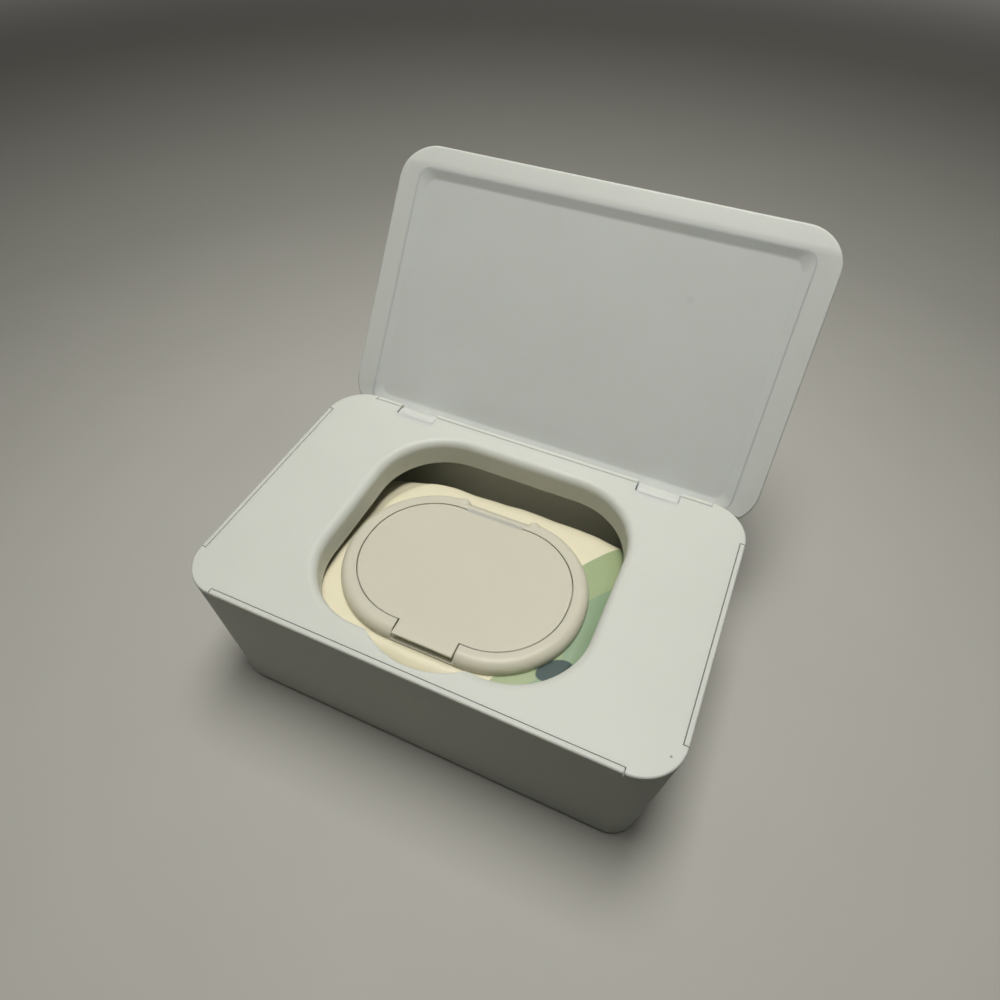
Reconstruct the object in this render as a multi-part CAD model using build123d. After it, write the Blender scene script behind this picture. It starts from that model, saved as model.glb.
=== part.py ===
from build123d import *
from math import cos, hypot, radians, sin, tan
import os

# Countertop wipes dispenser: a leaning-walled tub with a deck frame dropped into its rim, a
# hinged lid that lies open past upright, and a soft pack of wipes with its own flip-top.
# Millimetres. X is the width, Y runs to the back, Z is up. The origin is on the table, in the
# middle of the tub. The lid is drawn open, as it rests.

# Tub
body_width = 190.0
body_depth = 121.0
deck_height = 73.0
corner_radius = 16.5
wall_lean = 5.5
wall = 2.0
floor_thickness = 2.4
base_round = 2.5
rim_round = 0.8

# Feet
foot_diameter = 16.0
foot_sink = 1.2
foot_stand = 0.6
foot_inset = 24.0

# Deck frame
plate = 2.4
seam_gap = 0.3
opening_width = 107.6
deck_margin = 12.2
opening_corner = 29.0
opening_flare = 3.5
collar_drop = 12.5
collar_wall = 2.0
notch_radius = 31.6
notch_reach = 7.5
notch_round = 1.2
skirt_drop = 8.0
skirt_wall = 1.5

# Lid hinge
open_angle = 126.0
pin_drop = 6.0
pin_diameter = 2.0
pin_play = 0.05
pin_end_play = 0.3
pin_back_skin = 1.2
arm_width = 17.5
arm_from_side = 38.7
arm_front = 1.2
arm_shift = 0.25
side_play = 0.4
knuckle_play = 0.3
ear_width = 5.0
ear_skin = 1.4
stop_gap = 0.3

# Lid
lid_gap = 0.3
lid_thickness = 9.0
lid_skin = 2.0
lid_overhang = 3.0
lid_root = 1.8
lid_border = 9.6
lid_edge_round = 3.0
lid_lip_round = 0.8
lip_angle = 10.0
lip_blend = 15.0
panel_corner = 5.0
panel_thickness = 1.6
panel_ledge = 3.0
panel_play = 0.05
panel_to_hinge = 3.6
dish_depth = 1.2
dish_rim = 0.4
dish_slope = 3.6
dish_blend = 3.0

# Refill pack
pack_end_room = 0.8
pack_front_room = 0.6
pack_back_room = 13.2
film_below_deck = 13.7
pack_round = 9.0
pack_corner = 14.0
film = 0.5
fin_width = 5.0
fin_thickness = 0.8
soft_gap = 0.3
slot_margin = 2.0
slot_depth = 12.0
slot_corner = 4.0

# Wipes
wipe_count = 12
wipe_end_room = 11.0
wipe_side_room = 10.25
head_room = 4.7
leaf_gap = 0.2
tuft_margin = 6.0
tuft_thickness = 1.6
flap_depth = 14.0

# Flip-top on the pack
flip_x = -1.5
flip_side_room = 4.5
flip_front_room = 4.9
flip_back_room = 20.3
flip_end_flat = 2.0
glue_thickness = 0.3
glue_width = 9.0
flange = 0.8
ring_height = 5.0
ring_width = 6.7
ring_round = 4.0
ring_end_round = 2.6
cover_thickness = 2.0
cover_gap = 0.35
cover_ledge = 2.5
cover_round = 0.5
tab_width = 24.3
tab_set_back = 0.4
tab_bevel = 1.2
tab_gap = 0.5
mouth_margin = 12.0
mouth_depth = 26.0
mouth_end_flat = 2.0
lip_wall = 1.2
lip_height = 2.0
plug_wall = 1.2
plug_drop = 1.6
plug_play = 0.4
crease_gap = 0.3
crease_width = 32.0
tongue_flat = 1.8
tongue_foot = 1.5

# Longer than anything that it cuts, and how near an edge must lie to a level to count as on it
reach = 400.0
level_play = 0.01


def lean_at(z):
    """How far a wall has leaned in at this height."""
    return wall_lean * (deck_height - z) / deck_height


# Levels and places that follow from the sizes above
floor_top = foot_stand + floor_thickness
ledge_top = deck_height - plate
opening_depth = body_depth - 2 * deck_margin
collar_low = deck_height - collar_drop
notch_y = notch_radius - opening_depth / 2 - notch_reach
inner_edge = wall + seam_gap
pin_from_back = inner_edge + pin_back_skin + pin_diameter / 2
pin_y = body_depth / 2 - pin_from_back
pin_z = deck_height - pin_drop
arm_middle = body_width / 2 - arm_from_side
lid_plane = deck_height + lid_gap
lid_back = pin_y + lid_root
lid_front = -body_depth / 2 - lid_overhang

# The pack fills the tub to its walls at the ends and in front, with room for fingers behind it
pack_bottom = floor_top + soft_gap
film_top = deck_height - film_below_deck
pack_height = film_top - pack_bottom
fin_z = pack_bottom + pack_height / 2
fin_wall = lean_at(fin_z - fin_thickness / 2) + wall
pack_width = body_width - 2 * (fin_wall + pack_end_room + fin_width)
side_wall = lean_at(pack_bottom + pack_round) + wall
pack_depth = body_depth - 2 * side_wall - pack_front_room - pack_back_room
pack_middle_y = (pack_front_room - pack_back_room) / 2
wipe_width = pack_width - 2 * wipe_end_room
wipe_depth = pack_depth - 2 * wipe_side_room
leaf = (pack_height - 2 * film - head_room) / (2 * wipe_count) - leaf_gap

# The flip-top shows through the deck's opening, nearer to its front
flip_width = opening_width - 2 * flip_side_room
flip_depth = opening_depth - flip_front_room - flip_back_room
flip_y = (flip_front_room - flip_back_room) / 2
flip_corner = (flip_depth - flip_end_flat) / 2
flip_bottom = film_top + glue_thickness
flange_top = flip_bottom + flange
ring_top = flip_bottom + ring_height
cover_under = ring_top - cover_thickness
cover_width = flip_width - 2 * ring_width
cover_depth = flip_depth - 2 * ring_width
crease_y = flip_y + cover_depth / 2 + crease_gap / 2
mouth_width = cover_width - 2 * mouth_margin
mouth_corner = (mouth_depth - mouth_end_flat) / 2
slot_width = mouth_width - 2 * slot_margin
tuft_width = slot_width - 2 * tuft_margin


def outline(z, offset):
    """The tub's rounded outline at a height, drawn in by an offset."""
    inset = lean_at(z) + offset
    shape = RectangleRounded(body_width - 2 * inset, body_depth - 2 * inset, corner_radius - inset)
    return Plane.XY.offset(z) * shape


def leaning_block(bottom, top, offset):
    """A solid between two heights that follows the leaning walls."""
    return loft([outline(bottom, offset), outline(top, offset)])


def block(x_range, y_range, z_range):
    """A box between low and high values on each axis."""
    centre = [(low + high) / 2 for low, high in (x_range, y_range, z_range)]
    sides = [high - low for low, high in (x_range, y_range, z_range)]
    return Pos(*centre) * Box(*sides)


def rod(radius, x_range, y, z):
    """A cylinder that lies along X."""
    middle = (x_range[0] + x_range[1]) / 2
    return Pos(middle, y, z) * Rot(0, 90, 0) * Cylinder(radius, x_range[1] - x_range[0])


def tablet(width, depth, corner, bottom, height, x=0.0, y=0.0):
    """A rounded rectangle with upright sides."""
    return Pos(x, y, bottom) * extrude(RectangleRounded(width, depth, corner), height)


def lowest_edges(shape):
    return shape.faces().sort_by(Axis.Z)[0].edges()


def highest_edges(shape):
    return shape.faces().sort_by(Axis.Z)[-1].edges()


def swing_open(shape):
    """Turns a piece of the closed lid to where it rests open."""
    return shape.rotate(Axis((0, pin_y, pin_z), (1, 0, 0)), -open_angle)


def mirrored_pair(low, high):
    """The same X range on the left and on the right."""
    return [(-high, -low), (low, high)]


arm_ranges = mirrored_pair(arm_middle - arm_width / 2, arm_middle + arm_width / 2)
pocket_ranges = [(low - side_play, high + side_play) for low, high in arm_ranges]
rim_corner = hypot(pin_from_back - rim_round, pin_drop - rim_round) + rim_round
root_sweep = rim_corner + knuckle_play


def envelope():
    """Everything below the lid as one rounded block."""
    shape = leaning_block(foot_stand, deck_height, 0)
    shape = fillet(lowest_edges(shape), base_round)
    return fillet(highest_edges(shape), rim_round)


def rim_strips(gap):
    """The straight stretches where the tub's rim comes up beside the deck."""
    half_x = body_width / 2 - corner_radius - gap
    half_y = body_depth / 2 - corner_radius - gap
    tall = (ledge_top, deck_height + plate)
    along_x = block((-half_x, half_x), (-reach, reach), tall)
    along_y = block((-reach, reach), (-half_y, half_y), tall)
    return along_x + along_y


def stop_height():
    """Where the open arm comes down on the tub's wall, less the gap that it rests at."""
    turn = radians(open_angle)
    wall_y = body_depth / 2 - lean_at(pin_z - pin_drop) - pin_y
    fall = (lid_root + stop_gap + wall_y * cos(radians(180) - turn)) / sin(turn)
    return pin_z - fall


def foot_places():
    half_x = body_width / 2 - foot_inset
    half_y = body_depth / 2 - foot_inset
    return {
        "foot_front_left": (-half_x, -half_y),
        "foot_front_right": (half_x, -half_y),
        "foot_back_left": (-half_x, half_y),
        "foot_back_right": (half_x, half_y),
    }


def make_tub():
    room = leaning_block(floor_top, deck_height + plate, wall)
    room = fillet(lowest_edges(room), base_round - wall / 2)
    shell = envelope() - room
    corners = block((-reach, reach), (-reach, reach), (ledge_top, deck_height + plate))
    shell -= corners - rim_strips(seam_gap / 2)
    for low, high in pocket_ranges:
        shell -= block((low, high), (pin_y - pin_drop, reach), (stop_height(), reach))
        shell -= rod(pin_drop + knuckle_play, (low, high), pin_y, pin_z)
    for x, y in foot_places().values():
        shell -= Pos(x, y, foot_stand + foot_sink / 2) * Cylinder(foot_diameter / 2, foot_sink)
    return shell


def make_foot(x, y):
    tall = foot_stand + foot_sink
    pad = Pos(x, y, tall / 2) * Cylinder(foot_diameter / 2, tall)
    return chamfer(lowest_edges(pad), foot_stand / 2)


def pin_hold():
    """How deep each end of a pin sits in its ear."""
    return ear_width - ear_skin


def thumb_notch():
    """What the round notch in the opening's front edge takes away, with its rounded brim."""
    hole = Pos(0, notch_y, deck_height) * Cylinder(notch_radius, 2 * (collar_drop + plate))
    brim = Cylinder(notch_radius + notch_round, 2 * notch_round)
    brim -= Torus(notch_radius + notch_round, notch_round)
    upper = block((-reach, reach), (-reach, reach), (0, notch_round))
    return hole + Pos(0, notch_y, deck_height - notch_round) * (brim & upper)


def make_top_frame():
    deck = envelope() & block((-reach, reach), (-reach, reach), (ledge_top, deck_height))
    inside = leaning_block(ledge_top, deck_height + plate, inner_edge)
    deck -= rim_strips(-seam_gap / 2) - inside

    skirt_low = ledge_top - skirt_drop
    skirt = leaning_block(skirt_low, ledge_top, inner_edge)
    skirt -= leaning_block(skirt_low, ledge_top, inner_edge + skirt_wall)

    collar = tablet(
        opening_width + 2 * collar_wall,
        opening_depth + 2 * collar_wall,
        opening_corner + collar_wall,
        collar_low,
        collar_drop - plate / 2,
    )
    notch_wall = Pos(0, notch_y, deck_height) * Cylinder(notch_radius + collar_wall, 2 * collar_drop)
    collar += notch_wall & leaning_block(collar_low, deck_height - plate / 2, inner_edge)
    frame = deck + skirt + collar

    ear_low = pin_z - pin_diameter / 2 - ear_skin
    ear_back = body_depth / 2 - lean_at(ear_low) - inner_edge
    ear_front = pin_y - pin_diameter - 2 * ear_skin
    for low, high in pocket_ranges:
        ears = (low - ear_width, high + ear_width)
        frame += block(ears, (ear_front, ear_back), (ear_low, ledge_top + plate / 2))

    frame -= tablet(opening_width, opening_depth, opening_corner, collar_low - plate, reach)
    level = (deck_height - level_play, deck_height + level_play)
    rim = [
        edge
        for edge in frame.edges().filter_by_position(Axis.Z, *level)
        if abs(edge.center().X) < opening_width / 2 + plate
        and abs(edge.center().Y) < opening_depth / 2 + plate
    ]
    frame = fillet(rim, opening_flare) - thumb_notch()

    knuckle = pin_drop + knuckle_play
    bore = pin_diameter / 2 + pin_play
    for low, high in pocket_ranges:
        frame -= rod(knuckle, (low, high), pin_y, pin_z)
        frame -= block((low, high), (pin_y - arm_front - side_play, reach), (skirt_low - plate, reach))
        outer = high if low > 0 else low
        inner = low if low > 0 else high
        side = 1 if low > 0 else -1
        ends = sorted((inner - side * (ear_width + plate), outer + side * pin_hold()))
        frame -= rod(bore, ends, pin_y, pin_z)
    return frame


def make_hinge_pin(pocket):
    low, high = pocket
    hold = pin_hold() - pin_end_play
    return rod(pin_diameter / 2, (low - hold, high + hold), pin_y, pin_z)


def lid_outline(offset, corner, to_hinge=0.0):
    """The closed lid's outline, drawn in by an offset, which may be smaller at the hinge."""
    front = lid_front + offset
    back = lid_back - offset + to_hinge
    shape = RectangleRounded(body_width - 2 * offset, back - front, corner)
    return Pos(0, (back + front) / 2, 0) * shape


def lid_slab(offset, corner, bottom, height, to_hinge=0.0):
    return Pos(0, 0, bottom) * extrude(lid_outline(offset, corner, to_hinge), height)


def edges_between(shape, low, high):
    """The edges whose middle lies between two levels."""
    return [edge for edge in shape.edges() if low < edge.center().Z < high]


def lip_cut():
    """What the front border leaves free: level under the panel, then tipped up to the edge."""
    start = lid_front + lid_border - lip_blend * tan(radians(lip_angle / 2))
    far = start - reach
    side = Polyline(
        (reach, lid_plane),
        (start, lid_plane),
        (far, lid_plane + reach * tan(radians(lip_angle))),
        (far, lid_plane - reach),
        (reach, lid_plane - reach),
        close=True,
    )
    profile = make_face(side)
    crease = profile.vertices().sort_by_distance((start, lid_plane, 0))[0]
    profile = fillet(crease, lip_blend)
    return Pos(-reach, 0, 0) * extrude(Plane.YZ * profile, 2 * reach)


def make_lid_shell():
    shell = lid_slab(0, corner_radius, lid_plane, lid_thickness)
    shell = fillet(highest_edges(shell), lid_edge_round) - lip_cut()
    rise = lid_border * tan(radians(lip_angle))
    rim = [
        edge
        for edge in edges_between(shell, lid_plane - level_play, lid_plane + rise)
        if abs(edge.center().X) > level_play or not lid_front + level_play < edge.center().Y < 0
    ]
    shell = fillet(rim, lid_lip_round)

    seat = dish_depth + panel_thickness
    shell -= lid_slab(lid_border, panel_corner, lid_plane - plate, seat + plate, panel_to_hinge)
    hollow_corner = panel_corner - panel_ledge
    hollow = lid_thickness - lid_skin
    shell -= lid_slab(lid_border + panel_ledge, hollow_corner, lid_plane, hollow, panel_to_hinge)
    shell -= rod(root_sweep, (-reach, reach), pin_y, pin_z)

    for low, high in arm_ranges:
        arm = (low + arm_shift, high + arm_shift)
        shell += rod(pin_drop, arm, pin_y, pin_z)
        shell += block(arm, (pin_y - arm_front, lid_back), (pin_z, lid_plane + seat))
        shell -= rod(pin_diameter / 2 + pin_play, arm, pin_y, pin_z)
    return swing_open(shell)


def make_lid_panel():
    seat = dish_depth + panel_thickness
    level = lid_plane + dish_depth
    corner = panel_corner - panel_play
    panel = lid_slab(lid_border + panel_play, corner, lid_plane, seat, panel_to_hinge)
    rim = lid_border + panel_play + dish_rim
    edge = Pos(0, 0, lid_plane) * lid_outline(rim, corner - dish_rim, panel_to_hinge)
    flat = Pos(0, 0, level) * lid_outline(rim + dish_slope, corner, panel_to_hinge)
    panel -= loft([edge, flat])
    panel = fillet(edges_between(panel, level - level_play, level + level_play), dish_blend)
    return swing_open(panel)


def pillow(width, depth, height, corner, rounding, bottom):
    shape = tablet(width, depth, corner, bottom, height, 0, pack_middle_y)
    shape = fillet(lowest_edges(shape), rounding)
    return fillet(highest_edges(shape), rounding)


def make_pouch_film():
    bag = pillow(pack_width, pack_depth, pack_height, pack_corner, pack_round, pack_bottom)
    fin_y = pack_depth / 2 - pack_corner
    fin_x = pack_width / 2 + fin_width
    bag += block(
        (-fin_x, fin_x),
        (pack_middle_y - fin_y, pack_middle_y + fin_y),
        (fin_z - fin_thickness / 2, fin_z + fin_thickness / 2),
    )
    room = pillow(
        pack_width - 2 * film,
        pack_depth - 2 * film,
        pack_height - 2 * film,
        pack_corner - film,
        pack_round - film,
        pack_bottom + film,
    )
    slot_low = film_top - pack_round
    slot = tablet(slot_width, slot_depth, slot_corner, slot_low, reach, flip_x, flip_y)
    return bag - room - slot


def wipe_bottom(index):
    return pack_bottom + film + leaf_gap + index * (2 * leaf + 2 * leaf_gap)


def folded_wipe(index):
    """Two leaves joined by a round fold, which lies in front or behind by turns."""
    low = wipe_bottom(index)
    height = 2 * leaf + leaf_gap
    side = 1 if index % 2 else -1
    y_low = pack_middle_y - wipe_depth / 2
    y_high = pack_middle_y + wipe_depth / 2
    half = wipe_width / 2
    sheet = block((-half, half), (y_low, y_high), (low, low + height))
    fold_y = y_high if side > 0 else y_low
    fold = [
        edge
        for edge in sheet.edges().filter_by(Axis.X)
        if abs(edge.center().Y - fold_y) < leaf_gap
    ]
    sheet = fillet(fold, height / 2 - leaf_gap / 4)
    y_cut = sorted((fold_y - side * height / 2, fold_y - side * (wipe_depth + leaf)))
    return sheet - block((-reach, reach), y_cut, (low + leaf, low + leaf + leaf_gap))


def make_folded_wipes():
    return Compound(children=[folded_wipe(index) for index in range(wipe_count)])


def make_leading_wipe():
    """The next wipe: pulled up through the slot and folded over under the cover."""
    low = wipe_bottom(wipe_count)
    flap_low = flange_top + leaf_gap
    top = flap_low + tuft_thickness
    across = (flip_x - tuft_width / 2, flip_x + tuft_width / 2)
    narrow = (flip_y - tuft_thickness / 2, flip_y + tuft_thickness / 2)
    broad = (flip_y - flap_depth / 2, flip_y + flap_depth / 2)
    stem = block(across, narrow, (low, top))
    flap = block(across, broad, (flap_low, top))
    foot = block(across, broad, (low, low + leaf))
    return stem + flap + foot


def flip_tablet(inset, bottom, height):
    """A slab of the flip-top's outline, drawn in by an inset."""
    return tablet(
        flip_width - 2 * inset,
        flip_depth - 2 * inset,
        flip_corner - inset,
        bottom,
        height,
        flip_x,
        flip_y,
    )


def mouth(grow, bottom, height):
    return tablet(
        mouth_width + 2 * grow,
        mouth_depth + 2 * grow,
        mouth_corner + grow,
        bottom,
        height,
        flip_x,
        flip_y,
    )


def make_flip_glue():
    ring = flip_tablet(0, film_top, glue_thickness)
    return ring - flip_tablet(glue_width, film_top, glue_thickness)


def span(width):
    """An X range of that width in the middle of the flip-top."""
    return (flip_x - width / 2, flip_x + width / 2)


def back_break():
    """The gap between the ring's two rounded ends, behind the crease."""
    far = flip_y + flip_depth / 2 + ring_width
    return block(span(crease_width), (crease_y - cover_gap, far), (flange_top, ring_top + flange))


def ring_ends():
    """The domes that the ring ends in, on both sides of the crease."""
    radius = (ring_width - cover_gap) / 2
    y = flip_y + flip_depth / 2 - radius
    dome = Pos(0, 0, flip_bottom + ring_height / 2) * Cylinder(radius, ring_height)
    dome = fillet(highest_edges(dome), ring_end_round)
    low, high = span(crease_width)
    return Pos(low, y, 0) * dome + Pos(high, y, 0) * dome


def back_tongue():
    """The fixed half of the crease, which slopes from the cover's level to the outline."""
    low, high = span(crease_width)
    near = crease_y + crease_gap / 2
    far = flip_y + flip_depth / 2
    side = Polyline(
        (near, flange_top - flange / 2),
        (near, ring_top),
        (near + tongue_flat, ring_top),
        (far - tongue_foot, flange_top + tongue_foot),
        (far, flange_top - flange / 2),
        close=True,
    )
    return Pos(low, 0, 0) * extrude(Plane.YZ * make_face(side), high - low)


def make_flip_base():
    base = flip_tablet(0, flip_bottom, ring_height)
    base = fillet(highest_edges(base), ring_round)
    base -= flip_tablet(ring_width - cover_gap, cover_under - cover_gap, reach)
    base -= flip_tablet(ring_width + cover_ledge, flange_top, reach)
    base = base - back_break() + back_tongue() + ring_ends()
    # the thumb side is cut open under and beside the tab
    open_y = (flip_y - flip_depth / 2 - ring_width, flip_y - cover_depth / 2 + cover_ledge / 2)
    base -= block(span(tab_width + 2 * tab_gap), open_y, (flange_top, reach))
    base += mouth(lip_wall, flip_bottom, flange + lip_height)
    return base - mouth(0, flip_bottom - flange, reach)


def make_flip_cover():
    cover = flip_tablet(ring_width, cover_under, cover_thickness)
    tab_y = (flip_y - flip_depth / 2 + tab_set_back, flip_y)
    cover += block(span(tab_width), tab_y, (cover_under, ring_top))
    cover = fillet(highest_edges(cover), cover_round)
    front = [edge for edge in lowest_edges(cover) if edge.center().Y < tab_y[0] + level_play]
    cover = chamfer(front, tab_bevel)
    inner = lip_wall + plug_play
    plug_low = cover_under - plug_drop
    plug = mouth(inner + plug_wall, plug_low, plug_drop + cover_thickness / 2)
    return cover + (plug - mouth(inner, plug_low, plug_drop))


def all_nodes():
    nodes = {"tub": make_tub(), "top_frame": make_top_frame()}
    for name, (x, y) in foot_places().items():
        nodes[name] = make_foot(x, y)
    nodes["lid_shell"] = make_lid_shell()
    nodes["lid_panel"] = make_lid_panel()
    nodes["hinge_pin_left"] = make_hinge_pin(pocket_ranges[0])
    nodes["hinge_pin_right"] = make_hinge_pin(pocket_ranges[1])
    nodes["pouch_film"] = make_pouch_film()
    nodes["folded_wipes"] = make_folded_wipes()
    nodes["leading_wipe"] = make_leading_wipe()
    nodes["flip_glue"] = make_flip_glue()
    nodes["flip_base"] = make_flip_base()
    nodes["flip_cover"] = make_flip_cover()
    return nodes


os.makedirs("parts", exist_ok=True)
for node_name, node_shape in all_nodes().items():
    export_step(node_shape, f"parts/{node_name}.step")
print(f"lid pin at y {pin_y:.2f}, z {pin_z:.2f}; stop on the wall at z {stop_height():.2f}")
print(f"flip-top {flip_width:.1f} x {flip_depth:.1f}, crease at y {crease_y:.2f}, z {ring_top:.2f}")
print(f"pack {pack_width:.2f} x {pack_depth:.2f} x {pack_height:.2f}, leaf {leaf:.2f}")
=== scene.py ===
# %% [markdown]
# # A countertop wipes dispenser, dressed around its CAD frame
# The hard mouldings come from the CAD model with their true shapes, so here they only need
# their plastics. The soft things, the refill pack and the damp wipes in it, are drawn as
# plain solids in the CAD, so they are built again here as film and cloth.
# Everything is in metres, in the same frame as the CAD.

# %% Load the frame
import math

import bpy
import numpy as np
from mathutils import Matrix, Vector, noise


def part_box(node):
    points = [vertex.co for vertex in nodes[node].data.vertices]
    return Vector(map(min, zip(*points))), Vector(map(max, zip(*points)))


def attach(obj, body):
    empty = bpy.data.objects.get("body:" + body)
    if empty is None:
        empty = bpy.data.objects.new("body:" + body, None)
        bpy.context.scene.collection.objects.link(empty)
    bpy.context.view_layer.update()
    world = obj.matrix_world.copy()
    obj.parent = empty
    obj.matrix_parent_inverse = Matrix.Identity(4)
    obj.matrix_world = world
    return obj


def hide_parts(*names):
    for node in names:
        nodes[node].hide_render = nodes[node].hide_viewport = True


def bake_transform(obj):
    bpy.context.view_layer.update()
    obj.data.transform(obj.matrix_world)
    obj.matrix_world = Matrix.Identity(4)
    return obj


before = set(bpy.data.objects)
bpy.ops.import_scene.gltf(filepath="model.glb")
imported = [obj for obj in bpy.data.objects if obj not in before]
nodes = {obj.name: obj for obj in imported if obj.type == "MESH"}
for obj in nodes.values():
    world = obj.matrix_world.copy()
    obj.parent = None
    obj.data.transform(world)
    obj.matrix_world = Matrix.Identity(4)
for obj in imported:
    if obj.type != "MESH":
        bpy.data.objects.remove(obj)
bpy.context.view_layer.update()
MM = 0.001

# %% [markdown]
# ## Camera
# The photograph looks down on the open dispenser from its front right, from close by, with a
# wide lens. The edges of the tub and the lid in the photograph fix the place, the aim, the
# lens and a slight roll, so they are written here as numbers.

# %% Camera
camera_data = bpy.data.cameras.new("camera")
camera_data.sensor_width = 36
camera_data.lens = 25.58
camera_data.clip_start = 0.01
camera = bpy.data.objects.new("camera", camera_data)
bpy.context.scene.collection.objects.link(camera)
camera.location = (0.07385, -0.15134, 0.28906)
aim = Vector((-0.01248, 0.05205, 0.04)) - camera.location
roll = Matrix.Rotation(math.radians(1.5), 3, "Z")
camera.rotation_euler = (aim.to_track_quat("-Z", "Y").to_matrix() @ roll).to_euler()
bpy.context.scene.camera = camera
print("camera", tuple(round(v, 4) for v in camera.location), "lens", camera_data.lens)

# %% [markdown]
# ## Node helpers
# Every finish below is a small tree of shader nodes. It could be put together by hand in the
# shader editor, but written out it can be read from top to bottom. Three helpers keep that
# short: one adds a node and sets it up, one wires two sockets together, and one starts a
# material.


# %% Node helpers
def add(tree, kind, **settings):
    """Adds a shader node; a setting that names an input socket fills that socket."""
    node = tree.nodes.new("ShaderNode" + kind)
    for name, value in settings.items():
        socket = name.replace("_", " ").title()
        if socket in node.inputs:
            node.inputs[socket].default_value = value
        else:
            setattr(node, name, value)
    return node


def wire(tree, source, target):
    """Runs a wire from one node's output to another node's input."""
    tree.links.new(source, target)


def new_material(name):
    """A new material with its tree, its shader and the socket for the object's own space."""
    material = bpy.data.materials.new(name)
    material.use_nodes = True
    tree = material.node_tree
    shader = tree.nodes["Principled BSDF"]
    place = add(tree, "TexCoord").outputs["Object"]
    return material, tree, shader, place


print("node helpers ready")

# %% [markdown]
# ## Sums and ranges
# The same few steps come back in every tree, so each gets a helper that returns the socket
# with its result. These three do sums, move a value from one range to another, and tell on
# which side of a line a value lies.


# %% Sums and ranges
def maths(tree, operation, *values):
    """One step of arithmetic on sockets or numbers."""
    node = add(tree, "Math", operation=operation)
    for socket, value in zip(node.inputs, values):
        if isinstance(value, (int, float)):
            socket.default_value = value
        else:
            wire(tree, value, socket)
    return node.outputs["Value"]


def ranged(tree, value, start, end, low=0.0, high=1.0, curve="LINEAR"):
    """Takes start to low and end to high, and holds the value there beyond them."""
    node = add(tree, "MapRange", interpolation_type=curve)
    ends = {"From Min": start, "From Max": end, "To Min": low, "To Max": high}
    for name, number in ends.items():
        node.inputs[name].default_value = number
    wire(tree, value, node.inputs["Value"])
    return node.outputs["Result"]


def over_line(tree, value, line, blur):
    """One where a value is over a line and nothing under it, with a slightly soft edge."""
    return ranged(tree, value, line - blur, line + blur)


print("sums and ranges ready")

# %% [markdown]
# ## Textures, colours and bumps
# Four more helpers: a texture laid out by coordinates, a colour between two others, one
# colour laid over another, and a height that tips the surface in small slopes. A Mix node
# that is set to colours keeps its sockets behind those for numbers and vectors, and they
# share their names, so they are counted here once.

# %% Textures, colours and bumps
MIX_SHARE, MIX_UNDER, MIX_OVER, MIX_RESULT = 0, 6, 7, 2


def texture(tree, kind, place, **settings):
    """A texture node that is laid out by a socket of coordinates."""
    node = add(tree, "Tex" + kind, **settings)
    wire(tree, place, node.inputs["Vector"])
    return node


def between(tree, value, first, last, stops=(0.0, 1.0)):
    """A colour that goes from first to last as a value goes from one stop to the other."""
    node = add(tree, "ValToRGB")
    for end, position, colour in zip(node.color_ramp.elements, stops, (first, last)):
        end.position = position
        end.color = (*colour, 1)
    wire(tree, value, node.inputs["Fac"])
    return node.outputs["Color"]


def laid_over(tree, under, share, over):
    """A colour, or a socket with one, and over it another colour as far as the share says."""
    node = add(tree, "Mix", data_type="RGBA")
    wire(tree, share, node.inputs[MIX_SHARE])
    if isinstance(under, tuple):
        node.inputs[MIX_UNDER].default_value = (*under, 1)
    else:
        wire(tree, under, node.inputs[MIX_UNDER])
    node.inputs[MIX_OVER].default_value = (*over, 1)
    return node.outputs[MIX_RESULT]


def bumped(tree, shader, height, strength, depth_mm):
    """Lets a height tip the surface, as if it stood proud by that depth."""
    bump = add(tree, "Bump", strength=strength, distance=depth_mm * MM)
    wire(tree, height, bump.inputs["Height"])
    wire(tree, bump.outputs["Normal"], shader.inputs["Normal"])


print("textures, colours and bumps ready")

# %% [markdown]
# ## Moulded plastic
# Injection-moulded plastic is one colour all through, but never quite even: the gloss drifts
# where the melt cooled at different speeds, and the tool leaves a very fine satin grain.
# A broad noise moves the colour and the roughness a little, and a fine one drives the bump.
# Light also enters such plastic and comes out a millimetre or two away, which softens every
# edge; that is the subsurface part. A moulding can also carry small marks, such as the spot
# where the plastic came in.

# %% Moulded plastic
drift_scale, drift_stops, gloss_drift = 28.0, (0.3, 0.7), 0.05
grain_strength, plastic_ior = 0.6, 1.46
glow_share, glow_spread, glow_depth_mm = 0.5, (1.0, 0.92, 0.7), 3.0
mark_blur = 0.3


def spot(tree, place, centre_mm, radius_mm):
    """One inside a small round mark and nothing outside it."""
    gap = add(tree, "VectorMath", operation="DISTANCE")
    gap.inputs[1].default_value = [value * MM for value in centre_mm]
    wire(tree, place, gap.inputs[0])
    start, end = (radius_mm * (1 + side * mark_blur) * MM for side in (1, -1))
    return ranged(tree, gap.outputs["Value"], start, end, curve="SMOOTHSTEP")


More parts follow.
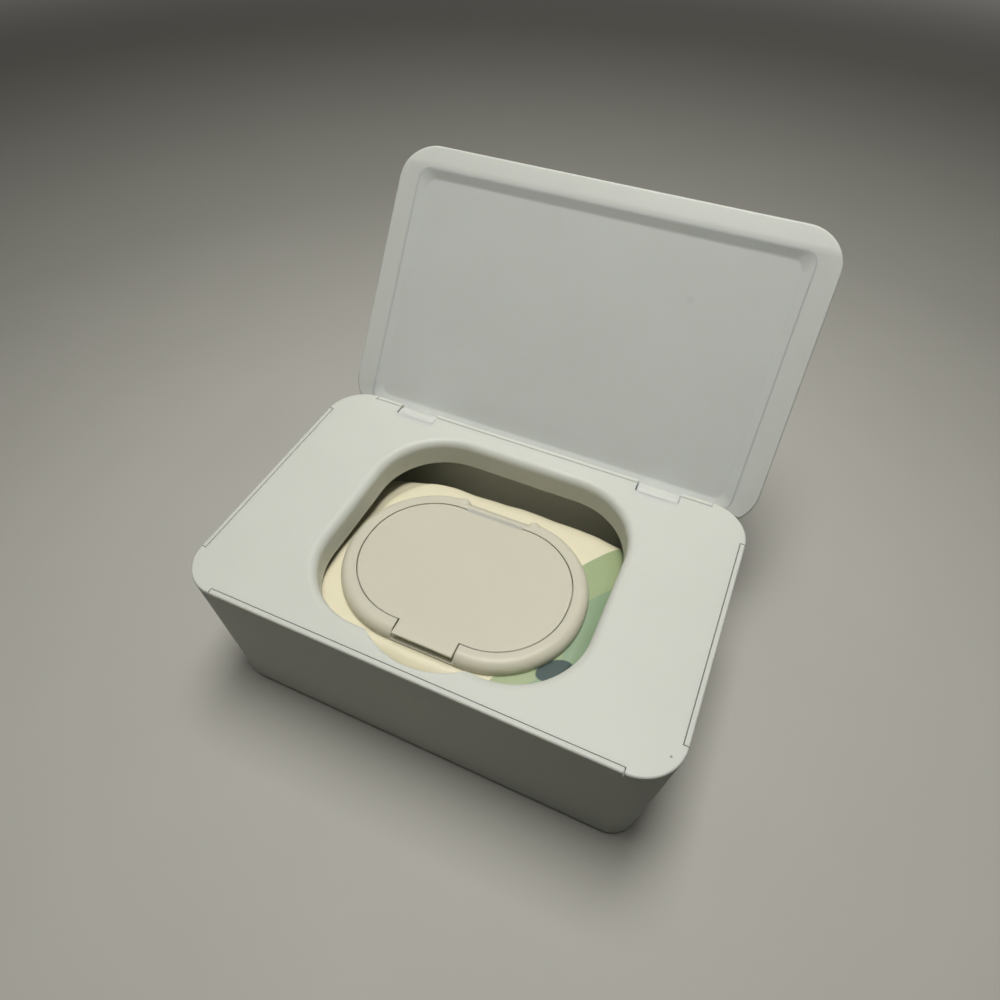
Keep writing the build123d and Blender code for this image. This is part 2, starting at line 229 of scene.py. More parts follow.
def moulded_plastic(name, colour, darker, roughness, grain_mm, grain_depth_mm, marks=()):
    """Plastic whose colour drifts a little darker, with a satin grain of that size and depth."""
    material, tree, shader, place = new_material(name)
    drift = texture(tree, "Noise", place, scale=drift_scale, detail=3.0, roughness=0.55)
    drift = drift.outputs["Fac"]
    shade = tuple(channel - darker for channel in colour)
    coat = between(tree, drift, shade, colour, drift_stops)
    for centre_mm, radius_mm, strength, mark_colour in marks:
        share = maths(tree, "MULTIPLY", spot(tree, place, centre_mm, radius_mm), strength)
        coat = laid_over(tree, coat, share, mark_colour)
    wire(tree, coat, shader.inputs["Base Color"])
    gloss = ranged(tree, drift, 0, 1, roughness - gloss_drift, roughness + gloss_drift)
    wire(tree, gloss, shader.inputs["Roughness"])
    grain = texture(tree, "Noise", place, scale=1 / (grain_mm * MM), detail=2.0)
    bumped(tree, shader, grain.outputs["Fac"], grain_strength, grain_depth_mm)
    shader.inputs["IOR"].default_value = plastic_ior
    shader.inputs["Subsurface Weight"].default_value = glow_share
    shader.inputs["Subsurface Radius"].default_value = glow_spread
    shader.inputs["Subsurface Scale"].default_value = glow_depth_mm * MM
    return material


def dress(node, material):
    """Gives a CAD node its finish."""
    slots = nodes[node].data.materials
    slots.clear()
    slots.append(material)


print("plastic ready")

# %% [markdown]
# ## The white mouldings
# Tub, deck frame and lid come from three tools, so their whites differ a little, and the
# lid's liner is a touch greyer. The deck carries one small gate mark near its front right
# corner, and the liner a faint scuff, so both marks are given as a place, a size, a strength
# and a colour.

# %% The white mouldings
slight_drift = 0.015
gate_mark = ((90.3, -49.3, 73.0), 0.45, 0.8, (0.25, 0.24, 0.2))
scuff = ((43.9, 110.4, 129.1), 1.6, 0.22, (0.5, 0.5, 0.47))
white_mouldings = {
    "tub": ("shell_white", (0.65, 0.665, 0.605), slight_drift, 0.5, 0.45, 0.03),
    "top_frame": ("deck_white", (0.658, 0.677, 0.62), slight_drift, 0.46, 0.45, 0.02, [gate_mark]),
    "lid_shell": ("lid_white", (0.66, 0.68, 0.638), slight_drift, 0.46, 0.45, 0.02),
    "lid_panel": ("liner_grey", (0.64, 0.66, 0.63), slight_drift, 0.52, 0.4, 0.03, [scuff]),
}
for node, finish in white_mouldings.items():
    dress(node, moulded_plastic(*finish))
print("white mouldings", list(white_mouldings))

# %% [markdown]
# ## The flip-top
# The pack's own flip-top is a thinner, creamier plastic than the box, with a smoother skin.
# Ring and cover are one moulding in the real one, so they share one finish.

# %% The flip-top
ivory_plastic = moulded_plastic(
    "ivory_plastic", (0.632, 0.607, 0.497), slight_drift, 0.42, 0.35, 0.015
)
dress("flip_base", ivory_plastic)
dress("flip_cover", ivory_plastic)
print("flip-top done")

# %% [markdown]
# ## Pads and glue
# The pads under the tub are soft silicone, duller than the tub and with a coarser skin. The
# ring of glue under the flip-top is clear and slightly cloudy. Neither shows much, so the
# plastic above does for both, with a wider drift of colour.

# %% Pads and glue
pad_rubber = moulded_plastic("pad_rubber", (0.62, 0.62, 0.60), 0.04, 0.75, 0.6, 0.06)
for corner in ("front_left", "front_right", "back_left", "back_right"):
    dress("foot_" + corner, pad_rubber)
cloudy_glue = moulded_plastic("cloudy_glue", (0.82, 0.78, 0.66), 0.08, 0.3, 1.5, 0.1)
dress("flip_glue", cloudy_glue)
print("pads and glue done")

# %% [markdown]
# ## Hinge pins
# The hinge pins are steel wire. Pulling it through a die leaves fine lines, which a Wave
# texture draws: they tip the surface a little and make the sheen come and go.

# %% Hinge pins
pin_wire, tree, shader, place = new_material("pin_wire")
drawn = texture(tree, "Wave", place, scale=900.0, distortion=3.0, bands_direction="Y")
bumped(tree, shader, drawn.outputs["Fac"], 0.3, 0.02)
sheen = ranged(tree, drawn.outputs["Fac"], 0, 1, 0.25, 0.4)
wire(tree, sheen, shader.inputs["Roughness"])
shader.inputs["Base Color"].default_value = (0.60, 0.60, 0.58, 1)
shader.inputs["Metallic"].default_value = 1.0
dress("hinge_pin_left", pin_wire)
dress("hinge_pin_right", pin_wire)
print("pins done")

# %% [markdown]
# ## Mesh helpers
# The soft pieces are grids of points worked out with numpy in millimetres. One helper joins
# such a grid into quads, one makes the mesh, and one bakes a modifier such as the thickness.


# %% Mesh helpers
def grid_faces(rows, columns, closed):
    """Quads between the rows of a grid; a closed grid joins its last column to its first."""
    faces = []
    last = columns if closed else columns - 1
    for row in range(rows - 1):
        for column in range(last):
            beside = (column + 1) % columns
            start, above = row * columns, (row + 1) * columns
            faces.append((start + column, start + beside, above + beside, above + column))
    return faces


def new_piece(name, points_mm, faces, material):
    """A smooth mesh object from points in millimetres and the faces between them."""
    mesh = bpy.data.meshes.new(name)
    mesh.from_pydata([tuple(p) for p in np.asarray(points_mm) * MM], [], faces)
    mesh.validate()
    mesh.polygons.foreach_set("use_smooth", [True] * len(mesh.polygons))
    mesh.materials.append(material)
    piece = bpy.data.objects.new(name, mesh)
    bpy.context.scene.collection.objects.link(piece)
    return piece


def thicken(piece, thickness_mm):
    """Gives a surface a thickness, on its inner side, and bakes it into the mesh."""
    skin = piece.modifiers.new("skin", "SOLIDIFY")
    skin.thickness = thickness_mm * MM
    skin.offset = -1
    graph = bpy.context.evaluated_depsgraph_get()
    baked = bpy.data.meshes.new_from_object(piece.evaluated_get(graph))
    piece.modifiers.clear()
    piece.data = baked


print("mesh helpers ready")

# %% [markdown]
# ## Shape helpers
# Three small functions give the soft shapes their character: a step that starts and ends
# gently, a smooth noise for ripples, and the distance to a rounded rectangle, which is the
# outline of most things on this pack.


# %% Shape helpers
def smooth_step(value, low, high):
    """Goes from nothing at low to one at high, gently at both ends."""
    t = np.clip((value - low) / (high - low), 0, 1)
    return t * t * (3 - 2 * t)


def ripple(points, size, seed):
    """Smooth noise from -1 to 1 at each point, with bumps of that size in millimetres."""
    flat = points.reshape(-1, 3) / size
    shift = Vector((seed * 7.3, seed * 3.1, seed * 5.7))
    values = [noise.noise(Vector(p) + shift) for p in flat]
    return np.array(values).reshape(points.shape[:-1])


def rounded_distance(x, y, low, high, corner):
    """How far a point lies outside a rounded rectangle; it is negative inside."""
    centre = (np.array(low) + np.array(high)) / 2
    half = (np.array(high) - np.array(low)) / 2 - corner
    qx = np.abs(x - centre[0]) - half[0]
    qy = np.abs(y - centre[1]) - half[1]
    outside = np.hypot(np.maximum(qx, 0), np.maximum(qy, 0))
    return outside + np.minimum(np.maximum(qx, qy), 0) - corner


print("shape helpers ready")

# %% [markdown]
# ## Where the pack lies
# The film, the wipes and the flip-top's crease are built around the CAD solids that they
# stand for, so their sizes are read from those solids here.


# %% Where the pack lies
def box_mm(node):
    """A CAD node's lowest and highest corners in millimetres."""
    return (np.array(corner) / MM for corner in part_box(node))


pack_low, pack_high = box_mm("pouch_film")
base_low, base_high = box_mm("flip_base")
_, cover_high = box_mm("flip_cover")
pile_low, pile_high = box_mm("folded_wipes")
tuft_low, tuft_high = box_mm("leading_wipe")
flip_middle = (base_low + base_high) / 2
fin_width = 5.0
seam_x = pack_high[0] - fin_width
middle_y = (pack_low + pack_high)[1] / 2
middle_z = (pack_low + pack_high)[2] / 2
half_depth = (pack_high - pack_low)[1] / 2
half_height = (pack_high - pack_low)[2] / 2
print("pack", pack_low.round(2), pack_high.round(2), "flip-top at", flip_middle.round(2))

# %% [markdown]
# ## How the pack falls to its seams
# A refill pack is a tube of printed film round a pile of folded wipes, flattened and crimped
# shut at both ends. It could be blown up from two flat sheets by cloth simulation, but a
# loft is steadier: the top stays level under the flip-top, rolls over the brink of the pile
# and then slopes down to the seams, and the bottom stays flat almost to its ends. The pack
# has been pushed askew, so its left part leans and drops off more steeply.

# %% How the pack falls to its seams
level_low, level_high, level_corner = (-49.8, -75.0), (48.5, 34.6), 20.0
left_lean, lean_front, lean_back = 0.13, -12, 25
brink_drop, brink_reach, brink_ease = 4.5, 5.5, 1.5
brink_start, brink_full = 5, 35
top_ease, top_bow = 1.5, 0.7
flat_end, bottom_ease, bottom_bow = 62.0, 2.1, 0.66
seam_half = 0.35


def fall(distance, reach, ease, bow):
    """The share of the height that is left at a distance into the slope towards a seam."""
    t = np.clip(distance / reach, 0, 1)
    return (1 - t**ease) ** bow


def top_share(x, y):
    """The share of its height that the top keeps."""
    askew = np.where(x < 0, left_lean * np.clip(y, lean_front, lean_back), 0)
    out = np.maximum(rounded_distance(x - askew, y, level_low, level_high, level_corner), 0)
    brink = brink_drop / half_height * (1 - np.exp(-((out / brink_reach) ** brink_ease)))
    brink *= smooth_step(-x, brink_start, brink_full)
    reach = seam_x + np.where(x < 0, level_low[0], -level_high[0])
    return fall(out, reach, top_ease, top_bow) * (1 - brink)


def bottom_share(x):
    """The share of its height that the bottom keeps."""
    out = np.maximum(np.abs(x) - flat_end, 0)
    return fall(out, seam_x - flat_end, bottom_ease, bottom_bow)


def squeeze(x, y, z):
    """Takes a height in a full pack to its height in the squeezed one, both from the middle."""
    share = np.where(z > 0, top_share(x, y), bottom_share(x))
    thin = seam_half / half_height
    return z * (share * (1 - thin) + thin)


print("at the seams", round(2 * seam_half, 2), "mm of", round(2 * half_height, 1), "are left")

# %% [markdown]
# ## The film as a grid
# The full pack's section is a rounded rectangle. It stands at many stations along the pack,
# closer together where the film bends most, and each one is squeezed by the rule above. The
# ends are also drawn in a little, as film is when it is pinched flat.

# %% The film as a grid
around, fin_steps, section_corner, quarter_points = 220, 26, 9.0, 24
slope_left, slope_right = -46, 44
end_taper, taper_start = 0.05, 60


def section(depth, height, radius, count):
    """A rounded rectangle round the origin in Y and Z, as evenly spaced points."""
    turn = np.linspace(0, math.pi / 2, quarter_points)
    corners = []
    for quarter, (sy, sz) in enumerate(((1, -1), (1, 1), (-1, 1), (-1, -1))):
        angle = turn - math.pi / 2 + quarter * math.pi / 2
        centre = np.array((sy * (depth - radius), sz * (height - radius)))
        corners.append(centre + radius * np.column_stack((np.cos(angle), np.sin(angle))))
    ring = np.vstack([(0, -height), *corners, (0, -height)])
    along = np.r_[0, np.cumsum(np.hypot(*np.diff(ring, axis=0).T))]
    even = np.linspace(0, along[-1], count, endpoint=False)
    return np.column_stack([np.interp(even, along, ring[:, k]) for k in (0, 1)])


body_x = np.concatenate((
    np.linspace(-seam_x, slope_left, 44, endpoint=False),
    np.linspace(slope_left, slope_right, 84, endpoint=False),
    np.linspace(slope_right, seam_x, 47),
))
fin_x = seam_x + np.linspace(0, fin_width, fin_steps + 1)[1:]
stations = np.concatenate((-fin_x[::-1], body_x, fin_x))
ring = section(half_depth, half_height, section_corner, around)
x = np.repeat(stations[:, None], around, axis=1)
narrow = 1 - end_taper * smooth_step(np.abs(x), taper_start, seam_x)
y = ring[None, :, 0] * narrow + middle_y
z_full = np.repeat(ring[None, :, 1], len(stations), axis=0)
z = squeeze(x, y, z_full)
film_points = np.stack((x, y, z + middle_z), axis=-1)
print("film grid", film_points.shape)

# %% [markdown]
# ## Wrinkles
# Film can't stretch, so wherever the tube is squeezed flat the spare width gathers into
# pleats that run in from the seam and die out over the pile. Between them it only ripples,
# and under the glued flip-top it lies flat. Two waves that run round the pack draw the
# pleats, and they push each point out from the pack's long middle line.

# %% Wrinkles
top_edge = half_height - 4
glued_edge, loose_edge = 0.5, 9
pleat_start, broad_pleats, fine_pleats = 46, 17, 29
pleat_depth, ripple_depth, fine_ripple_depth, film_inset = 0.75, 0.75, 0.25, 0.4
flip_corner = (base_high - base_low)[1] / 2
away = rounded_distance(x, y, base_low[:2], base_high[:2], flip_corner)
top = smooth_step(z_full, 0, top_edge)
free = smooth_step(away, glued_edge, loose_edge) * top + (1 - top)

round_angle = 2 * math.pi * np.arange(around) / around
near_seam = np.clip((np.abs(x) - pleat_start) / (seam_x - pleat_start), 0, 1)
side = np.where(x < 0, 1.7, 0.4)
pleats = np.sin(broad_pleats * round_angle + side + 2.6 * ripple(film_points, 30, 2))
pleats += 0.5 * np.sin(fine_pleats * round_angle + 3 * side)
push = pleat_depth * near_seam**1.4 * (1 - near_seam**6) * pleats
loose = free * (1 - near_seam**4)
broad_ripple, fine_ripple = ripple(film_points, 24, 1), ripple(film_points, 8, 3)
push += loose * (ripple_depth * broad_ripple + fine_ripple_depth * fine_ripple)

hub = np.stack((x, np.full_like(y, middle_y), np.full_like(z, middle_z)), axis=-1)
outward = film_points - hub
length = np.maximum(np.linalg.norm(outward, axis=-1, keepdims=True), 1e-6)
outward = outward / length * smooth_step(length, 0, 3)
film_points += outward * (push - film_inset * loose)[..., None]
print("deepest pleat", round(float(np.abs(push).max()), 2), "mm")

# %% [markdown]
# ## Crimped ends
# The seams are welded between ridged jaws, which leaves fine ridges across the fin, and they
# are cut off in small teeth. A wave lifts the ridges, and a zigzag along the edge shortens
# the last quarter of the fin.

# %% Crimped ends
ridge_count, ridge_height = 6, 0.22
tooth_width, tooth_depth = 1.6, 0.7
along_fin = np.clip((np.abs(x) - seam_x) / fin_width, 0, 1)
ridges = np.sin(2 * math.pi * along_fin * ridge_count) * (along_fin > 0)
film_points[..., 2] += ridge_height * ridges
tooth = np.abs((y / tooth_width) % 1 - 0.5) * 2
film_points[..., 0] -= np.sign(x) * tooth_depth * tooth * smooth_step(along_fin, 0.75, 1)
film_points[..., 2] = np.clip(film_points[..., 2], pack_low[2], None)
print("fins", fin_width, "mm wide with teeth of", tooth_width, "mm")

# %% [markdown]
# ## The print's bands
# The film is cream, with greens and a little teal printed flat on it. This print is made up
# for this pack: two rolling bands of green, one over the other, sweep slantwise across each
# end. Sine waves draw their edges. The print is laid out as on a flat sheet: on the upright
# front and back, the way down the wall is counted on to the depth.

# %% The print's bands
band_shift, band_slant = 0.014, -0.2
wide_wave, near_wave = (58.0, 4.5, 0.4), (43.0, 3.5, 2.2)
wall_start, wall_blur = 0.043, 0.004


def rolling_edge(tree, along, across, wave_mm, height_mm, turn):
    """How far a point lies out from the pack's slanting middle, plus a wave across it."""
    shifted = maths(tree, "ADD", along, band_shift)
    out = maths(tree, "ABSOLUTE", maths(tree, "MULTIPLY_ADD", across, band_slant, shifted))
    angle = maths(tree, "MULTIPLY_ADD", across, 2 * math.pi / (wave_mm * MM), turn)
    return maths(tree, "MULTIPLY_ADD", maths(tree, "SINE", angle), height_mm * MM, out)


printed_film, tree, shader, place = new_material("printed_film")
split = add(tree, "SeparateXYZ")
wire(tree, place, split.inputs["Vector"])
along, depth = split.outputs["X"], split.outputs["Y"]
over_front = over_line(tree, maths(tree, "MULTIPLY", depth, -1.0), wall_start, wall_blur)
over_back = over_line(tree, depth, wall_start, wall_blur)
on_wall = maths(tree, "SUBTRACT", over_back, over_front)
drop = maths(tree, "SUBTRACT", float(pack_high[2]) * MM, split.outputs["Z"])
across = maths(tree, "MULTIPLY_ADD", on_wall, drop, depth)
wide_band = rolling_edge(tree, along, across, *wide_wave)
near_band = rolling_edge(tree, along, across, *near_wave)
print("bands", wide_wave[0], "and", near_wave[0], "mm from wave to wave")

# %% [markdown]
# ## The print's seeds
# Teal seeds lie scattered along the bands. A Voronoi texture gives one round spot around
# each of its points, and stretching and turning its plane makes seeds of them. A seed is
# kept or left out by where its middle lies, so that none is cut.

# %% The print's seeds
seed_plane = {
    "Location": (0.043, -0.034, 0),
    "Rotation": (0, 0, math.radians(40)),
    "Scale": (0.042, 0.024, 1),
}
seed_size, seed_blur, seed_scatter = 0.17, 0.008, 0.12
seed_line, print_blur = 0.056, 0.0002


def seed_mapping(tree, vector, direction):
    """TEXTURE goes from the flat print to the seeds' own stretched plane; POINT goes back."""
    mapping = add(tree, "Mapping", vector_type=direction)
    for name, numbers in seed_plane.items():
        mapping.inputs[name].default_value = numbers
    wire(tree, vector, mapping.inputs["Vector"])
    return mapping.outputs["Vector"]


unrolled = add(tree, "CombineXYZ")
wire(tree, along, unrolled.inputs["X"])
wire(tree, across, unrolled.inputs["Y"])
flat_seeds = seed_mapping(tree, unrolled.outputs["Vector"], "TEXTURE")
cells = texture(
    tree, "Voronoi", flat_seeds, voronoi_dimensions="2D", scale=1.0, randomness=seed_scatter
)
outside_seed = over_line(tree, cells.outputs["Distance"], seed_size, seed_blur)
core = add(tree, "SeparateXYZ")
wire(tree, seed_mapping(tree, cells.outputs["Position"], "POINT"), core.inputs["Vector"])
core_band = rolling_edge(tree, core.outputs["X"], core.outputs["Y"], *wide_wave)
seed_kept = over_line(tree, core_band, seed_line, print_blur)
seed_mask = maths(tree, "MULTIPLY", maths(tree, "SUBTRACT", 1.0, outside_seed), seed_kept)
print("seeds kept from", seed_line / MM, "mm out")

# %% [markdown]
# ## The inks and the film's sheen
# The inks are laid one over the other, as a press does. The film has a low sheen, and the
# fine creases of handling break it up.

# %% The inks and the film's sheen
cream, pale_green = (0.76, 0.71, 0.52), (0.335, 0.41, 0.22)
mid_green, teal = (0.25, 0.35, 0.215), (0.012, 0.045, 0.04)
wide_line, near_line = 0.052, 0.061
coat = laid_over(tree, cream, over_line(tree, wide_band, wide_line, print_blur), pale_green)
coat = laid_over(tree, coat, over_line(tree, near_band, near_line, print_blur), mid_green)
coat = laid_over(tree, coat, seed_mask, teal)
wire(tree, coat, shader.inputs["Base Color"])
shader.inputs["Roughness"].default_value = 0.42
creases = texture(tree, "Noise", place, scale=160.0, detail=5.0, roughness=0.6)
bumped(tree, shader, creases.outputs["Fac"], 0.35, 0.12)
print("print done")

# %% [markdown]
# ## The film and its slot
# The next wipe comes out through a slot in the film, which the flip-top's mouth leaves open.
# The faces over the slot are left out, after the points near its outline have been moved
# onto it, so that the cut is clean. Then the surface gets the thickness of film.

# %% The film and its slot
slot_room, slot_corner, snap_reach, far_off = 6, 4.0, 0.95, 99.0
film_thick = 0.33
slot_low = np.array((tuft_low[0] - slot_room, flip_middle[1] - slot_room))
slot_high = np.array((tuft_high[0] + slot_room, flip_middle[1] + slot_room))


def slot_gap(px, py):
    """How far a point lies outside the slot."""
    return rounded_distance(px, py, slot_low, slot_high, slot_corner)


film_x, film_y = film_points[..., 0], film_points[..., 1]
gap = np.where(z_full > top_edge, slot_gap(film_x, film_y), far_off)
near = np.abs(gap) < snap_reach
step = 0.01
slope_x = (slot_gap(film_x + step, film_y) - gap) / step
slope_y = (slot_gap(film_x, film_y + step) - gap) / step
film_x -= np.where(near, gap * slope_x, 0)
film_y -= np.where(near, gap * slope_y, 0)
inside = (np.where(near, 0, gap) <= 0).ravel()
faces = [
    face
    for face in grid_faces(len(stations), around, closed=True)
    if not all(inside[corner] for corner in face)
]
film = new_piece("pack_film", film_points.reshape(-1, 3), faces, printed_film)
thicken(film, film_thick)
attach(film, "refill")
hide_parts("pouch_film")
print("film", len(film.data.polygons), "faces")

# %% [markdown]
# ## Damp cloth
# Wipes are a non-woven cloth of viscose: white, with a faint pattern of pressed dots and
# fibres lying every way. It is damp, so it has a little more sheen than dry cloth.

# %% Damp cloth
damp_cloth, tree, shader, place = new_material("damp_cloth")
fibres = texture(tree, "Noise", place, scale=900.0, detail=6.0, roughness=0.7)
fibres = fibres.outputs["Fac"]
dots = texture(tree, "Voronoi", place, scale=520.0, randomness=0.15)
pressed = maths(tree, "MULTIPLY_ADD", dots.outputs["Distance"], 0.7, fibres)
bumped(tree, shader, pressed, 0.5, 0.15)
tone = between(tree, fibres, (0.72, 0.72, 0.69), (0.86, 0.86, 0.83))
wire(tree, tone, shader.inputs["Base Color"])
shader.inputs["Roughness"].default_value = 0.6
shader.inputs["Sheen Weight"].default_value = 0.25
print("cloth ready")

# %% [markdown]
# ## How a wipe is folded
# The wipes lie in a pile, each folded once round a soft edge. Each is a closed strip of cloth
# swept along the pack: its path runs along the lower leaf, round the fold and back. A solid
# strip with two outlines is steadier than a thin sheet, because its ends are closed too.

# %% How a wipe is folded
wipe_count, leaf_thick, fold_room = 12, 1.5, 1.5
leaf_points, fold_points = 24, 9
pitch = (pile_high[2] - pile_low[2]) / wipe_count


def fold_path(side):
    """Two leaves and the fold between them, in Y and Z, about the middle of the wipe."""
    reach = (pile_high - pile_low)[1] / 2 - fold_room
    radius = pitch / 4
    turn = np.linspace(-math.pi / 2, math.pi / 2, fold_points)
    leaf_y = np.linspace(-reach, reach - radius, leaf_points)
    lower = np.column_stack((leaf_y, np.full(leaf_points, -radius)))
    bend = np.column_stack((reach - radius + radius * np.cos(turn), radius * np.sin(turn)))
    upper = np.column_stack((leaf_y[::-1], np.full(leaf_points, radius)))
    return np.vstack((lower, bend[1:-1], upper)) * (side, 1)


def strip_loop(path, thick):
    """The outline of a strip of that thickness along a path."""
    along = np.gradient(path, axis=0)
    along /= np.linalg.norm(along, axis=1, keepdims=True)
    normal = np.column_stack((-along[:, 1], along[:, 0]))
    return np.vstack((path + normal * thick / 2, (path - normal * thick / 2)[::-1]))


def swept_strip(path, thick, x_values):
    """Points and faces of a closed strip that is swept along X."""
    loop = strip_loop(path, thick)
    count = len(loop)
    points = np.array([np.column_stack((np.full(count, px), loop)) for px in x_values])
    faces = grid_faces(len(x_values), count, closed=True)
    for row, turn in ((0, 1), (len(x_values) - 1, -1)):
        for column in range(count // 2 - 1):
            mate = count - 1 - column
            quad = (column, column + 1, mate - 1, mate)[::turn]
            faces.append(tuple(row * count + corner for corner in quad))
    return points, faces


print("a wipe every", round(float(pitch), 2), "mm")

# %% [markdown]
# ## The pile of wipes
# The folds lie in front and behind by turns, so that one wipe draws out the next, and no wipe
# lies quite straight on the one below. The pile is squeezed at its ends with the film, by
# the same rule, and the cloth is a little wavy.

# %% The pile of wipes
half_wipe, wipe_stations = 68.0, 56
pile_lift, end_shift, fold_shift, waviness = 0.4, 0.6, 0.7, 0.10
pile_floor = pile_low[2] + pile_lift
pile_y = (pile_low + pile_high)[1] / 2
ends = np.linspace(-half_wipe, half_wipe, wipe_stations)
for level in range(wipe_count):
    path = fold_path(1 if level % 2 else -1)
    points, faces = swept_strip(path, leaf_thick, ends)
    points[..., 0] += end_shift * math.sin(level * 2.3)
    points[..., 1] += pile_y + fold_shift * math.cos(level * 1.7)
    rise = points[..., 2] + (level + 0.5) * pitch + pile_floor - middle_z
    points[..., 2] = squeeze(points[..., 0], points[..., 1], rise) + middle_z
    points[..., 2] += waviness * ripple(points, 14, level + 4)
    name = f"wipe_{level + 1:02d}"
    wipe = new_piece(name, points.reshape(-1, 3), faces, damp_cloth)
    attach(wipe, "refill")
    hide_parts("folded_wipes")

# %% [markdown]
# ## The leading wipe's path
# The tip of the next wipe stands up through the slot and is pressed over when the flip-top
# is shut. Its path in Y and Z goes from the pile up through the slot and forward under the
# cover. It is drawn as a few straight runs, and averaging each point with its neighbours a
# few times rounds them off.

# %% The leading wipe's path
cover_thick, tip_room, tip_rows = 2.0, 0.9, 60
tip_z = cover_high[2] - cover_thick - tip_room
foot_z = tuft_low[2] + tip_room
centre_y = flip_middle[1]
knots = np.array((
    (centre_y + 6.5, foot_z),
    (centre_y + 3.5, foot_z + 0.1),
    (centre_y + 1.4, foot_z + 0.8),
    (centre_y + 0.7, foot_z + 2.8),
    (centre_y + 0.4, tip_z - 1.6),
    (centre_y - 0.8, tip_z - 0.4),
    (centre_y - 3.0, tip_z - 0.1),
    (centre_y - 5.4, tip_z - 0.6),
    (centre_y - 6.6, tip_z - 1.2),
))
at = np.linspace(0, 1, len(knots))
fine = np.linspace(0, 1, tip_rows)
tip_path = np.column_stack([np.interp(fine, at, knots[:, k]) for k in (0, 1)])
for _ in range(6):
    tip_path[1:-1] = (tip_path[:-2] + 2 * tip_path[1:-1] + tip_path[2:]) / 4

# %% [markdown]
# ## The leading wipe
# The cloth is swept along the pack on that path, with pleats across it that grow towards the
# free end, where nothing holds them flat. Where the path runs level the pleats go up and
# down, and where it climbs they go to and fro.

# %% The leading wipe
tip_stations, tip_cut, tip_thick = 150, 52.0, 0.4
pleat_lift, pleat_sway, pleat_wander = 0.5, 0.9, 0.8
half_tip = (tuft_high - tuft_low)[0] / 2 - 0.5
tip_x = np.linspace(-half_tip, half_tip, tip_stations)
points = np.array([np.column_stack((np.full(tip_rows, px), tip_path)) for px in tip_x])
grow = np.linspace(0.1, 1, tip_rows)[None, :]
wave = np.sin(points[..., 0] * 1.05 + 1.4 * ripple(points, 11, 6))
level = np.abs(np.gradient(tip_path[:, 0]))
level = (level / level.max())[None, :]
points[..., 2] += pleat_lift * wave * grow * level
points[..., 1] += pleat_sway * wave * grow * (1 - level)
points[..., 0] += flip_middle[0] + pleat_wander * ripple(points, 15, 9) * grow
faces = grid_faces(len(tip_x), tip_rows, closed=False)
tip = new_piece("wipe_tip", points.reshape(-1, 3), faces, damp_cloth)
thicken(tip, tip_thick)
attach(tip, "refill")
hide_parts("leading_wipe")
print("leading wipe", round(2 * float(half_tip), 1), "mm wide, gathered from", tip_cut)

# %% [markdown]
# ## The flip-top's crease
# The real cover hangs on a thin web moulded along its straight back edge, where the plastic
# simply bends. The CAD leaves a narrow gap there, and this flat strip bridges it: one long
# edge lies over the cover, the other over the ring.

# %% The flip-top's crease
web_half, web_thick, web_rise = 12.4, 0.2, 0.02
web_front, web_back, bend_front, bend_back = -0.5, 0.8, -0.1, 0.4
crease_y = cover_high[1]
web_y = np.linspace(crease_y + web_front, crease_y + web_back, 9)
web_x = np.linspace(flip_middle[0] - web_half, flip_middle[0] + web_half, 40)
web_z = cover_high[2] + web_rise
points = np.array([[(px, py, web_z) for py in web_y] for px in web_x])
faces = [face[::-1] for face in grid_faces(len(web_x), len(web_y), closed=False)]
web = new_piece("crease_web", points.reshape(-1, 3), faces, ivory_plastic)
thicken(web, web_thick)
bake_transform(web)
print("crease at y", round(float(crease_y), 2), "mm")

# %% [markdown]
# ## The table
# The dispenser stands on a plain warm-grey table. For every ray but the camera's, its colour
# is painted darker, least on the left and most on the right, so that it throws less light back
# on the box: painted shade on the walls, darkest on the right side wall. Light Path tells the
# camera's rays from the others. The camera alone sees the table painted a little darker away
# from the box, a painted fall-off of light, and then run into a pale backdrop.

# %% The table
table_dark, table_light = (0.455, 0.448, 0.402), (0.485, 0.478, 0.432)
bounce_left, bounce_right, bounce_width = 0.65, 0.35, 0.12
dim_start, dim_end, dim_share = 0.22, 0.45, 0.82
backdrop_colour, backdrop_strength = (1, 0.985, 0.93), 0.36
backdrop_start, backdrop_end, table_glow = 0.9, 2.2, 0.87
table_half = 2500

table_top, tree, shader, place = new_material("table_top")
speckle = texture(tree, "Noise", place, scale=14.0, detail=4.0)
tone = between(tree, speckle.outputs["Fac"], table_dark, table_light)
sideways = add(tree, "SeparateXYZ")
wire(tree, place, sideways.inputs["Vector"])
# painted shade: for every ray but the camera's the table's colour is darker, most on the right, to
# darken the walls it lights
painted_bounce_shade = ranged(tree, sideways.outputs["X"], 0, bounce_width, bounce_left, bounce_right)
reach = add(tree, "VectorMath", operation="LENGTH")
wire(tree, place, reach.inputs[0])
reach = reach.outputs["Value"]
# painted shade: the camera sees the table's colour darker away from the box, a painted fall-off of
# light
painted_falloff_shade = ranged(tree, reach, dim_start, dim_end, 1, dim_share)
seen = add(tree, "LightPath").outputs["Is Camera Ray"]
share = maths(tree, "MAXIMUM", maths(tree, "MULTIPLY", seen, painted_falloff_shade), painted_bounce_shade)
# the table's colour scaled by that painted shade
painted_shade_tone = add(tree, "VectorMath", operation="SCALE")
wire(tree, tone, painted_shade_tone.inputs[0])
wire(tree, share, painted_shade_tone.inputs["Scale"])
wire(tree, painted_shade_tone.outputs["Vector"], shader.inputs["Base Color"])
shader.inputs["Roughness"].default_value = 0.7

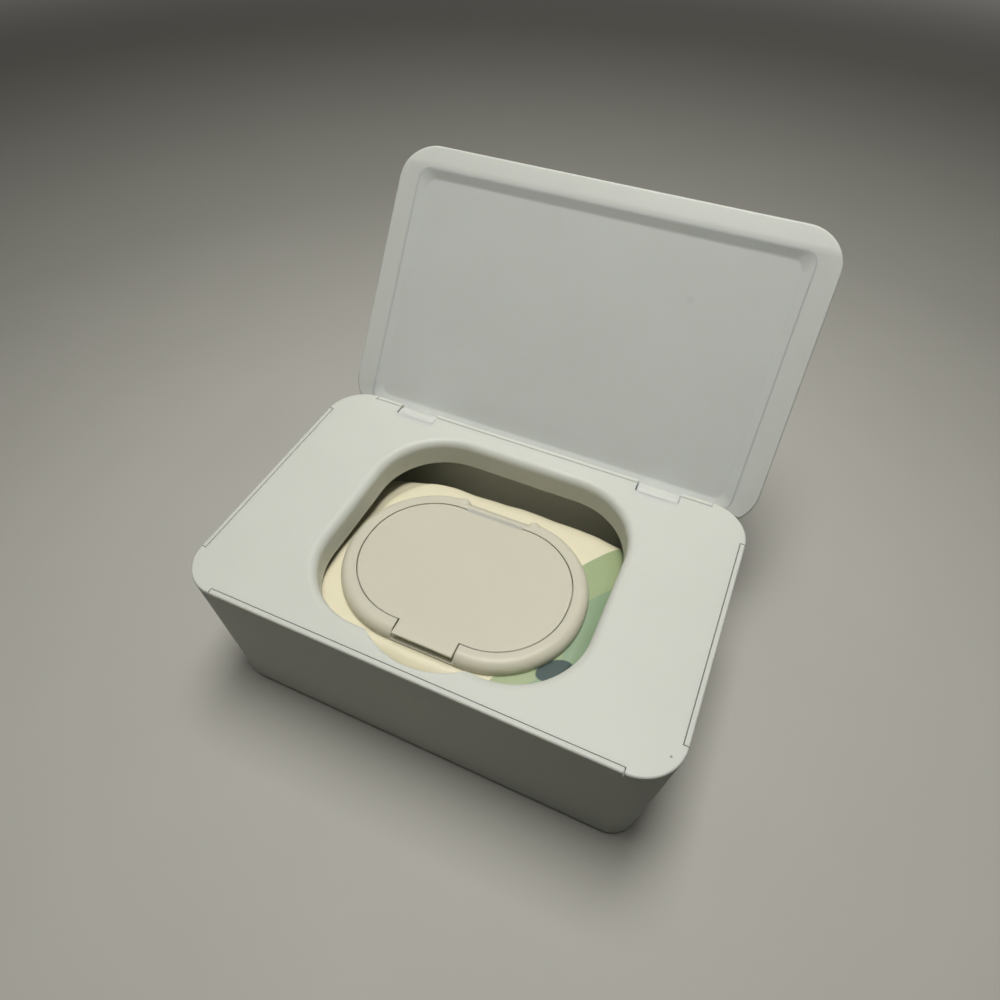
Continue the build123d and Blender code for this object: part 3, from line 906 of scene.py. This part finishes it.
far_glow = table_glow * backdrop_strength
far_away = ranged(tree, reach, backdrop_start, backdrop_end, 0, far_glow, "SMOOTHSTEP")
wire(tree, maths(tree, "MULTIPLY", seen, far_away), shader.inputs["Emission Strength"])
shader.inputs["Emission Color"].default_value = (*backdrop_colour, 1)
sides = ((-1, -1), (1, -1), (1, 1), (-1, 1))
corners = [(sx * table_half, sy * table_half, 0) for sx, sy in sides]
floor = new_piece("floor", corners, [(0, 1, 2, 3)], table_top)
print("table", 2 * table_half * MM, "m wide")

# %% [markdown]
# ## The sky
# The world stands in for a pale ceiling: it gives a little light from above and none from
# near the horizon, so that the upright walls stay in their own shade. The camera sees the
# same backdrop behind the table that the table runs into.

# %% The sky
ceiling_start, ceiling_end, ceiling_strength = 0.3, 0.85, 0.2
world = bpy.data.worlds.new("world")
bpy.context.scene.world = world
world.use_nodes = True
sky = world.node_tree
height = add(sky, "SeparateXYZ")
wire(sky, add(sky, "TexCoord").outputs["Generated"], height.inputs["Vector"])
ceiling = ranged(
    sky, height.outputs["Z"], ceiling_start, ceiling_end, 0, ceiling_strength, "SMOOTHSTEP"
)
ray = add(sky, "LightPath")
shown = maths(sky, "MULTIPLY", ray.outputs["Is Camera Ray"], backdrop_strength)
backdrop = sky.nodes["Background"]
backdrop.inputs["Color"].default_value = (1, 0.985, 0.95, 1)
wire(sky, maths(sky, "MAXIMUM", ceiling, shown), backdrop.inputs["Strength"])
print("sky strength", ceiling_strength, "overhead")

# %% [markdown]
# ## The lamp
# One long, wide lamp hangs straight overhead, reaching further back than forward, so that
# the deck is bright, the open lid half bright, and the walls, which lean in under the rim,
# are in their own shade. Its light is kept to a cone, as by the grid of a softbox, so that
# the table dims away from the box.

# %% The lamp
lamp_data = bpy.data.lights.new("overhead", "AREA")
lamp_data.shape = "RECTANGLE"
lamp_data.size, lamp_data.size_y = 0.33, 0.57
lamp_data.spread = math.radians(85)
lamp_data.energy = 2.03
lamp_data.color = (1, 0.99, 0.955)
lamp = bpy.data.objects.new("overhead", lamp_data)
lamp.location = (0, 0.084, 1.05)
straight_down = Vector((0, 0.0841, 0)) - Vector((0, 0.084, 1.05))
lamp.rotation_euler = straight_down.to_track_quat("-Z", "Y").to_euler()
bpy.context.scene.collection.objects.link(lamp)
bpy.context.scene.view_settings.view_transform = "Standard"
print("lamp", lamp_data.energy, "W")
